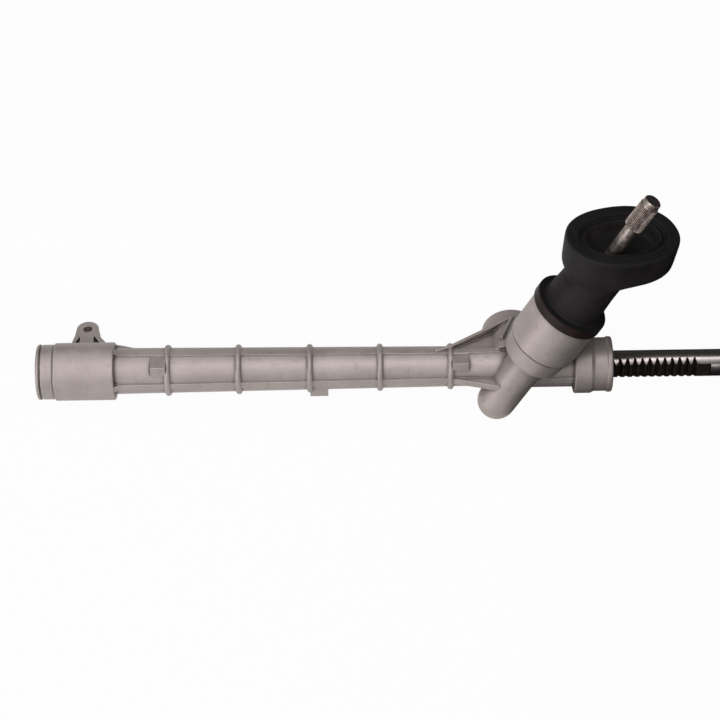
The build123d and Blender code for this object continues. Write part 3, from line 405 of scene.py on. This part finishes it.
def turned_piece(name, axis, light, dark, roughness, streak_shade=0.0, tip=None):
    material, tree, shader, where = new_material(name)
    rings = turned_marks(tree, where, axis, LATHE_RINGS)
    film = spots(tree, where, FILM_SIZE, 4.0)
    corner_shade = shelter(tree, SERRATION_REACH, 16)
    tone = blend(tree, ramp(tree, film, 0.35, 0.65), dark, light)
    if streak_shade:
        # Painted shade: dark streaks along the shaft stand for the light and dark of its serrations.
        shade_streaks = shade_streaks_round(tree, where, pinion_foot, axis)
        tone = blend(tree, ramp(tree, shade_streaks, 0.46, 0.58, 0.0, streak_shade), tone, "3A302D")
    # Painted shade: the corners of the serrations are painted darker.
    tone = blend(tree, ramp(tree, corner_shade, 0.80, 0.30, 0.0, 0.25), tone, "1E1817")
    if tip:
        height = distance_along(tree, where, axis, pinion_foot)
        # Painted reflection: the tip's end face is painted dark, for the dark it mirrors from above.
        painted_tip_reflection = calculate(tree, "GREATER_THAN", height, (tip - TIP_FACE_DEPTH) * MM)
        tone = blend(tree, calculate(tree, "MULTIPLY", painted_tip_reflection, 0.85), tone, "2B2321")
    tree.links.new(tone, shader.inputs["Base Color"])
    shader.inputs["Metallic"].default_value = 1.0
    tree.links.new(ramp(tree, film, 0.3, 0.7, roughness - 0.05, roughness + 0.08), shader.inputs["Roughness"])
    tree.links.new(bumped(tree, rings, 0.03, 0.4), shader.inputs["Normal"])
    return material


shaft_steel = turned_piece(
    "turned_steel_shaft", tuple(pinion_up), "BDB0AB", "93877F", 0.46, streak_shade=0.42, tip=SHAFT_TIP
)
plug_steel = turned_piece("zinc_plated_steel", tuple(yoke_side), "A8A49C", "8A867E", 0.34)
spring_wire = turned_piece("drawn_spring_steel", tuple(yoke_side), "66666C", "4A4A50", 0.38)
race_steel = turned_piece("ground_bearing_steel", tuple(pinion_up), "C4C4C6", "ACACB0", 0.18)
print("turned finishes:", [m.name for m in (shaft_steel, plug_steel, spring_wire, race_steel)])

# %% [markdown]
# ## Rubber, lacquer and plastics
#
# The boot is compression-moulded nitrile rubber. It is matt and almost black, with a grey bloom in soft clouds and
# fine grit in the skin. The faces that look up along the pad are painted blacker, as painted shade, and so are the
# hollows where no light comes.
#
# The band round its flange is spring steel under brown lacquer, which pools and scuffs. The bush is moulded acetal,
# ivory with a soft sheen. The bearing cages are glass-filled nylon, yellower and duller. The yoke's liner is PTFE
# filled with bronze powder, a dull grey-green.

# %% Moulded and lacquered finishes
PAD_LEAN = radians(7.0)  # the boot's oval pad leans less than the pinion
HOLLOW_REACH = 12.0
pad_up = on_unit(sin(PAD_LEAN), 0, cos(PAD_LEAN))


def moulded(name, light, dark, roughness, grit_mm, grit_depth_mm, cloud_mm=18.0, sheen_level=0.5, shaded_towards=None):
    material, tree, shader, where = new_material(name)
    bloom = spots(tree, where, cloud_mm, 6.0, 0.65)
    grit = spots(tree, where, grit_mm, 3.0)
    tone = blend(tree, ramp(tree, bloom, 0.38, 0.68), dark, light)
    if shaded_towards:
        # Painted shade: faces that look this way are painted blacker, and hollows blacker still.
        flat = add_node(tree, "ShaderNodeNewGeometry").outputs["Normal"]
        facing = add_node(tree, "ShaderNodeVectorMath", {"operation": "DOT_PRODUCT"}, i0=flat, i1=shaded_towards)
        tone = blend(tree, ramp(tree, facing.outputs["Value"], 0.5, 0.85, 0.0, 0.7), tone, "0A0909")
        hollow_shade = ramp(tree, shelter(tree, HOLLOW_REACH, 8), 0.80, 0.35, 0.0, 0.75)
        tone = blend(tree, hollow_shade, tone, "050404")
    tree.links.new(tone, shader.inputs["Base Color"])
    tree.links.new(ramp(tree, bloom, 0.3, 0.7, roughness - 0.06, roughness + 0.08), shader.inputs["Roughness"])
    shader.inputs["Specular IOR Level"].default_value = sheen_level
    tree.links.new(bumped(tree, grit, grit_depth_mm, 0.5), shader.inputs["Normal"])
    return material


nitrile_rubber = moulded(
    "moulded_nitrile_rubber", "292525", "1A1717", 0.66, 0.9, 0.12, sheen_level=0.2, shaded_towards=tuple(pad_up)
)
brown_band = moulded("brown_lacquered_steel", "30211F", "1A1211", 0.50, 1.6, 0.05, cloud_mm=6.0, sheen_level=0.2)
bush_plastic = moulded("moulded_acetal", "DAD5C6", "CDC7B4", 0.38, 1.2, 0.02)
cage_plastic = moulded("glass_filled_nylon", "C2B48C", "AD9F78", 0.46, 0.5, 0.03)
liner_plastic = moulded("bronze_filled_ptfe", "4C554F", "3C4540", 0.5, 0.4, 0.02)
print("moulded finishes ready")

# %% [markdown]
# ## Dressing the CAD pieces
#
# The record names a material slot for each piece. One table turns a slot into a finish. The yoke's plug and ring
# are turned about another axis than the shaft, so they take their own finish.

# %% Dress every node
finishes = {
    "cast_aluminium": die_casting,
    "ground_steel": ground_steel,
    "turned_steel": shaft_steel,
    "bearing_steel": race_steel,
    "spring_steel": spring_wire,
    "black_rubber": nitrile_rubber,
    "dark_band": brown_band,
    "bush_plastic": bush_plastic,
    "cage_plastic": cage_plastic,
    "liner_plastic": liner_plastic,
}
own_finish = {"yoke_plug": plug_steel, "yoke_lock_ring": plug_steel}
for part in frame["record"]["subparts"]:
    mesh = nodes[part["node"]].data
    mesh.materials.clear()
    mesh.materials.append(own_finish.get(part["node"], finishes[part["material_slot"]]))
print("dressed", len(nodes), "nodes")

# %% [markdown]
# ## The rubber boot
#
# A boot seals the hole in the bulkhead that the pinion shaft comes through. It is one moulding: a flange under a
# steel band on the tower's rim, a round neck, and a thick oval pad that presses on the body, with a step, a rounded
# lip and a deep bowl in its open top.
#
# It could be cut from solids, but rubber has no sharp edges and flows from a circle into an oval. A loft does both:
# rings of equal point count, each a circle round the pinion or an oval on the pad, joined by faces. The list of
# rings below goes up the outside, over the rim, down into the bowl and back through the inside.
#
# The neck stands off the middle of the pad. So that the faces between them don't twist, each point of the oval lies
# straight out from the neck's axis through its partner on the circle.

# %% Pad of the boot
BOOT_POINTS = 120
PAD_CENTRE = place(467.5, -2.5, 154.0)
PAD_SKEW = radians(20.0)
PAD_HALF_LENGTH = 50.7
PAD_HALF_WIDTH = 37.6
PAD_SQUARENESS = 2.25  # 2 is an ellipse
PAD_THICKNESS = 30.0
NECK_TOP_RADIUS = 24.3
FARTHEST_REACH = 8.0  # in neck radii, well outside the pad
HALVINGS = 40
OVERHANG_START, OVERHANG_SPAN = 1.12, 0.40  # in neck radii: where the pad begins to stand out from the neck
pinion_side = on_unit(cos(PINION_LEAN), 0, -sin(PINION_LEAN))
pad_slope = on_unit(cos(PAD_LEAN), 0, -sin(PAD_LEAN))
pad_along = pad_slope * cos(PAD_SKEW) + yoke_side * sin(PAD_SKEW)
pad_across = yoke_side * cos(PAD_SKEW) - pad_slope * sin(PAD_SKEW)
angles = [2 * pi * step / BOOT_POINTS for step in range(BOOT_POINTS)]


def neck_point(angle, radius, depth):
    """A point on a cylinder round the pinion, slid along it onto a plane that far below the pad's top"""
    spoke = pinion_foot + (pinion_side * cos(angle) + yoke_side * sin(angle)) * radius * MM
    rise = (PAD_CENTRE - pad_up * depth * MM - spoke).dot(pad_up) / pinion_up.dot(pad_up)
    return spoke + pinion_up * rise


def pad_shares(point):
    """A point's place on the pad, as shares of its half length and half width"""
    offset = point - PAD_CENTRE
    return offset.dot(pad_along) / (PAD_HALF_LENGTH * MM), offset.dot(pad_across) / (PAD_HALF_WIDTH * MM)


def fullness(u, v):
    """1 on the pad's outline, less inside it"""
    return (abs(u) ** PAD_SQUARENESS + abs(v) ** PAD_SQUARENESS) ** (1 / PAD_SQUARENESS)


def outline_place(angle):
    """Where a line from the neck's axis through a point of the neck meets the pad's outline, and how far out"""
    u0, v0 = pad_shares(neck_point(angle, 0.0, PAD_THICKNESS))
    u1, v1 = pad_shares(neck_point(angle, NECK_TOP_RADIUS, PAD_THICKNESS))
    near, far = 0.0, FARTHEST_REACH
    for halving in range(HALVINGS):
        reach = (near + far) / 2
        if fullness(u0 + (u1 - u0) * reach, v0 + (v1 - v0) * reach) < 1:
            near = reach
        else:
            far = reach
    return u0 + (u1 - u0) * near, v0 + (v1 - v0) * near, near


outline = [outline_place(angle) for angle in angles]
overhang = [min(1.0, max(0.0, (reach - OVERHANG_START) / OVERHANG_SPAN)) for u, v, reach in outline]
nearest = min(reach for u, v, reach in outline)
print("pad outline of", len(outline), "points, the nearest at", round(nearest, 2), "neck radii")


# %% Rings of the boot
def circle_ring(radius, height):
    """A ring round the pinion's axis, at a height along it"""
    centre = pinion_foot + pinion_up * height * MM
    return [centre + (pinion_side * cos(a) + yoke_side * sin(a)) * radius * MM for a in angles]


def oval_ring(inset, depth, flush=None):
    """A ring set in from the pad's outline, at a depth below its top; flush is the inset where the neck is near"""
    centre = PAD_CENTRE - pad_up * depth * MM
    points = []
    for (u, v, reach), share in zip(outline, overhang):
        drawn_in = inset if flush is None else flush + (inset - flush) * share
        half_length, half_width = (PAD_HALF_LENGTH - drawn_in) * MM, (PAD_HALF_WIDTH - drawn_in) * MM
        points.append(centre + pad_along * u * half_length + pad_across * v * half_width)
    return points


def collar_ring(radius, depth, inset=0.0):
    """A ring round the pinion on a plane below the pad's top, kept inside the pad's outline by an inset"""
    limit = 1 - inset / PAD_HALF_WIDTH
    points = []
    for angle in angles:
        point = neck_point(angle, radius, depth)
        u, v = pad_shares(point)
        if inset and fullness(u, v) > limit:
            pull = limit / fullness(u, v)
            level = PAD_CENTRE - pad_up * depth * MM
            point = level + (pad_along * u * PAD_HALF_LENGTH + pad_across * v * PAD_HALF_WIDTH) * pull * MM
        points.append(point)
    return points


# A circle's sizes are its radius and its height up the pinion, or its depth below the pad's top. An oval's are its
# inset from the outline, its depth, and the inset it has instead where the neck is near. All are in millimetres.
flange_and_neck = [
    (28.95, 93.0), (29.4, 92.05), (31.3, 92.05), (31.75, 92.5), (31.75, 99.6), (32.6, 99.76), (33.0, 99.95),
    (33.0, 100.2), (32.7, 100.5), (30.0, 100.5), (27.6, 100.5), (26.5, 100.9), (26.0, 102.0), (25.7, 106.0),
    (25.3, 113.0), (24.9, 120.0), (24.5, 127.0),
]
neck_into_pad = [(24.4, 37.0, 2.3), (24.6, 34.6, 2.1), (25.2, 32.4, 1.95), (26.2, 30.9, 1.85), (28.0, 30.2, 1.8)]
pad_outside = [
    (4.6, 29.9, 1.75), (2.7, 28.9, 1.7), (1.7, 27.0, 1.6), (1.4, 24.5, 1.4), (0.5, 9.0), (0.3, 3.2), (0.5, 1.3),
    (1.2, 0.35), (2.4, 0.0), (6.5, 0.0), (9.9, 0.0),
]
step_and_lip = [
    (10.8, 0.35), (11.2, 1.3), (11.6, 3.6), (12.3, 4.6), (13.6, 4.7), (14.5, 4.3), (15.0, 3.3), (15.7, 2.8),
    (16.6, 3.0), (17.2, 3.9),
]
bowl = [(17.9, 6.0), (18.8, 9.5), (20.2, 12.8), (22.4, 14.6), (24.6, 15.0)]
shaft_lip = [
    (10.4, 14.8), (9.0, 13.4), (8.3, 11.6), (7.4, 10.8), (6.7, 11.1), (6.45, 12.0), (6.45, 16.4), (8.2, 19.5),
]
inside = [(20.0, 134.0), (21.2, 122.0), (22.2, 104.0), (22.4, 98.4), (23.2, 97.6), (28.2, 97.5), (28.95, 96.8)]

boot_rings = [circle_ring(*size) for size in flange_and_neck]
boot_rings += [collar_ring(*size) for size in neck_into_pad]
boot_rings += [oval_ring(*size) for size in pad_outside + step_and_lip + bowl]
boot_rings += [collar_ring(*size) for size in shaft_lip]
boot_rings += [circle_ring(*size) for size in inside]
print("boot rings:", len(boot_rings))


# %% Skin of the boot
def loft_closed(name, rings):
    """A closed tube-like skin through rings of equal point count; the last ring joins the first"""
    shell = bmesh.new()
    rows = [[shell.verts.new(point) for point in ring] for ring in rings]
    for lower, upper in zip(rows, rows[1:] + rows[:1]):
        for near, far in zip(range(len(lower)), [*range(1, len(lower)), 0]):
            shell.faces.new((lower[near], lower[far], upper[far], upper[near]))
    bmesh.ops.recalc_face_normals(shell, faces=shell.faces)
    mesh = bpy.data.meshes.new(name)
    shell.to_mesh(mesh)
    shell.free()
    for face in mesh.polygons:
        face.use_smooth = True
    made = bpy.data.objects.new(name, mesh)
    bpy.context.scene.collection.objects.link(made)
    return made


seal_boot = loft_closed("seal_boot", boot_rings)
smooth = seal_boot.modifiers.new("smooth", "SUBSURF")
smooth.levels = smooth.render_levels = 1
seal_boot.data.materials.append(nitrile_rubber)
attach(seal_boot, "housing")
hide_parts("bulkhead_seal")
print("boot faces:", len(seal_boot.data.polygons))

# %% [markdown]
# ## Screw threads
#
# Three holes are tapped: one in each end of the bar for the tie rods, and the wide one in the yoke boss for the
# plug. The CAD holes are plain. A thread is a ridge that winds round the wall at a steady pitch, so a spiral and a
# small diamond profile make it. A geometry tree does that from named sizes, and the same tree winds all three.

# %% Thread tree
def thread_tree():
    """A ridge wound round the Z axis, from its radius, pitch, turns and height"""
    tree = bpy.data.node_groups.new("thread_ridge", "GeometryNodeTree")
    for name in ("Radius", "Pitch", "Turns", "Ridge"):
        tree.interface.new_socket(name, in_out="INPUT", socket_type="NodeSocketFloat")
    tree.interface.new_socket("Finish", in_out="INPUT", socket_type="NodeSocketMaterial")
    tree.interface.new_socket("Geometry", in_out="OUTPUT", socket_type="NodeSocketGeometry")
    sizes = add_node(tree, "NodeGroupInput").outputs
    height = add_node(tree, "ShaderNodeMath", {"operation": "MULTIPLY"}, i0=sizes["Pitch"], i1=sizes["Turns"])
    spiral = add_node(
        tree,
        "GeometryNodeCurveSpiral",
        Resolution=48,
        Rotations=sizes["Turns"],
        Start_Radius=sizes["Radius"],
        End_Radius=sizes["Radius"],
        Height=height.outputs[0],
    )
    profile = add_node(tree, "GeometryNodeCurvePrimitiveCircle", Resolution=4, Radius=sizes["Ridge"])
    ridge = add_node(
        tree, "GeometryNodeCurveToMesh", Curve=spiral.outputs[0], Profile_Curve=profile.outputs[0], Fill_Caps=True
    )
    whole = add_node(tree, "GeometryNodeRealizeInstances", Geometry=ridge.outputs[0])
    painted = add_node(tree, "GeometryNodeSetMaterial", Geometry=whole.outputs[0], Material=sizes["Finish"])
    add_node(tree, "NodeGroupOutput", Geometry=painted.outputs[0])
    return tree


ridge_tree = thread_tree()
print("tree inputs:", [item.name for item in ridge_tree.interface.items_tree if item.in_out == "INPUT"])


# %% Wind the threads
def wind_thread(name, body, slot, start, direction, radius, pitch, length, ridge, finish):
    """A thread in a hole: start is the middle of its first turn, and all sizes are in millimetres"""
    carrier = bpy.data.objects.new(name, bpy.data.meshes.new(name))
    bpy.context.scene.collection.objects.link(carrier)
    modifier = carrier.modifiers.new("wind", "NODES")
    modifier.node_group = ridge_tree
    sizes = {"Radius": radius * MM, "Pitch": pitch * MM, "Turns": length / pitch, "Ridge": ridge * MM, "Finish": finish}
    for item in ridge_tree.interface.items_tree:
        if item.in_out == "INPUT":
            modifier[item.identifier] = sizes[item.name]
    wound = bpy.data.meshes.new_from_object(carrier.evaluated_get(bpy.context.evaluated_depsgraph_get()))
    carrier.modifiers.remove(modifier)
    wound.transform(direction.to_track_quat("Z", "Y").to_matrix().to_4x4())
    wound.transform(Matrix.Translation(start))
    carrier.data = wound
    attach(carrier, body)
    return carrier


TIE_ROD_SIZES = (6.25, 1.5, 21.0, 0.45)  # radius, pitch, length and the ridge's half height
YOKE_PLUG_SIZES = (18.5, 1.5, 4.0, 0.4)
FIRST_TURN_DEPTH = 1.5  # behind the bar's end face
YOKE_THREAD_Y = 42.2
bar_way = Vector((1, 0, 0))
left_start = place(BAR_LEFT_END + FIRST_TURN_DEPTH, 0, 0)
right_start = place(BAR_RIGHT_END - FIRST_TURN_DEPTH, 0, 0)
yoke_start = place(PINION_X, YOKE_THREAD_Y, 0)
threads = [
    wind_thread("tie_rod_thread_left", "rack", "ground_steel", left_start, bar_way, *TIE_ROD_SIZES, ground_steel),
    wind_thread("tie_rod_thread_right", "rack", "ground_steel", right_start, -bar_way, *TIE_ROD_SIZES, ground_steel),
    wind_thread("yoke_boss_thread", "housing", "cast_aluminium", yoke_start, yoke_side, *YOKE_PLUG_SIZES, die_casting),
]
print("thread faces:", [len(thread.data.polygons) for thread in threads])

# %% [markdown]
# ## Bench and light
#
# The unit lies on white paper. Its light comes from above and from the left: a strip over the tower, a low lamp beside
# the end of the bar, and three soft lamps in an arc over the clamp seat, from front to back. Each cylinder then shows
# an even bright side that turns dark on the far flank, which tells the eye how round it is. A thin lamp in front
# draws one bright line along the ground bar, and a weak one at the right keeps the shaded side readable.
#
# Bright metal mirrors what lies round it, and with paper on every side it looks like paper itself. So a black card
# lies on the bench for the metal to mirror. The camera doesn't see it, and it throws no shadow.

# %% Bench
LIP_X, LIP_LOW = -42.1, 24.7  # where the paper touches the left lip, and how far below the bar's axis
KNOB_X, KNOB_LOW = 366.0, 37.7  # and the pinion's knob
PAPER_GAP = 0.3
PAPER_GLOW = 0.97  # just short of white
tilt = atan((KNOB_LOW - LIP_LOW) / (KNOB_X - LIP_X))


def stage_plane(name, corners, finish):
    """A flat backdrop through four corners, which isn't part of the unit"""
    mesh = bpy.data.meshes.new(name)
    mesh.from_pydata(corners, [], [(0, 1, 2, 3)])
    mesh.materials.append(finish)
    made = bpy.data.objects.new(name, mesh)
    bpy.context.scene.collection.objects.link(made)
    return made


def bench_point(x, y):
    """A point of the paper, which runs under the knob and the left lip"""
    return (x * MM, y * MM, -(LIP_LOW + (x - LIP_X) * tan(tilt) + PAPER_GAP) * MM)


def white_paper():
    """White to the camera, in mirrors and through glass; a grey sheet to the lamps"""
    material = bpy.data.materials.new("white_paper")
    material.use_nodes = True
    tree = material.node_tree
    tree.nodes.clear()
    sheet = add_node(tree, "ShaderNodeBsdfDiffuse", Color=paint("BEBEBE")).outputs[0]
    glow = add_node(tree, "ShaderNodeEmission", Color=(1, 1, 1, 1), Strength=1.0).outputs[0]
    rays = add_node(tree, "ShaderNodeLightPath").outputs
    seen = calculate(tree, "MAXIMUM", rays["Is Camera Ray"], rays["Is Glossy Ray"])
    seen = calculate(tree, "MAXIMUM", seen, rays["Is Transmission Ray"])
    share = calculate(tree, "MULTIPLY", seen, PAPER_GLOW)
    paper = add_node(tree, "ShaderNodeMixShader", i0=share, i1=sheet, i2=glow)
    add_node(tree, "ShaderNodeOutputMaterial", Surface=paper.outputs[0])
    return material


BENCH_REACH = 12000
corners = [(x * BENCH_REACH, y * BENCH_REACH) for x, y in ((-1, -1), (1, -1), (1, 1), (-1, 1))]
stage_plane("bench_paper", [bench_point(*corner_shade) for corner_shade in corners], white_paper())
print("bench tilt", round(degrees(tilt), 2), "degrees")


# %% Black card
CARD_CORNERS = ((385, -2500), (2200, -2500), (2200, 1500), (385, 1500))
CARD_LIFT = Vector((0, 0, 0.0001))


def black_card():
    material, _, shader, _ = new_material("black_card")
    shader.inputs["Base Color"].default_value = paint("1C1A1A")
    shader.inputs["Roughness"].default_value = 0.9
    return material


card = stage_plane("black_card", [Vector(bench_point(*corner_shade)) + CARD_LIFT for corner_shade in CARD_CORNERS], black_card())
card.visible_camera = False
card.visible_shadow = False
print("card at", round(card.data.vertices[0].co.z, 3), "to", round(card.data.vertices[1].co.z, 3), "m")


# %% Lamps
def soft_lamp(name, position, target, width, height, watts):
    """A soft lamp, aimed at a point; places are in metres"""
    lamp = bpy.data.lights.new(name, "AREA")
    lamp.shape = "RECTANGLE"
    lamp.size = width
    lamp.size_y = height
    lamp.energy = watts
    lamp_object = bpy.data.objects.new(name, lamp)
    bpy.context.scene.collection.objects.link(lamp_object)
    lamp_object.location = position
    lamp_object.rotation_mode = "QUATERNION"
    lamp_object.rotation_quaternion = (Vector(target) - Vector(position)).to_track_quat("-Z", "Y")
    return lamp_object


WORLD_LEVEL = 0.07  # a little light from all round, so that no shadow is quite black
aim = (0.28, 0.0, 0.0)
soft_lamp("low_left_lamp", (-0.7, -0.65, 0.2), aim, 0.6, 0.3, 3.5)
soft_lamp("arc_front_lamp", (-0.3, -0.8, 0.9), aim, 0.6, 0.4, 2.9)
soft_lamp("arc_top_lamp", (-0.3, 0.0, 1.2), aim, 0.6, 0.4, 2.7)
soft_lamp("arc_back_lamp", (-0.3, 0.7, 0.9), aim, 0.6, 0.4, 2.0)
soft_lamp("strip_lamp", (0.5, -0.1, 1.6), aim, 1.4, 0.35, 12.5)
soft_lamp("thin_front_lamp", (0.75, -1.3, 1.0), (0.6, 0.0, 0.0), 0.9, 0.12, 3.2)
soft_lamp("right_fill_lamp", (1.2, -1.2, 0.5), aim, 0.6, 0.4, 0.9)
world = bpy.data.worlds.new("studio")
bpy.context.scene.world = world
world.use_nodes = True
background = world.node_tree.nodes["Background"]
background.inputs["Color"].default_value = (1, 1, 1, 1)
background.inputs["Strength"].default_value = WORLD_LEVEL
bpy.context.scene.view_settings.view_transform = "Standard"
print("seven lamps")
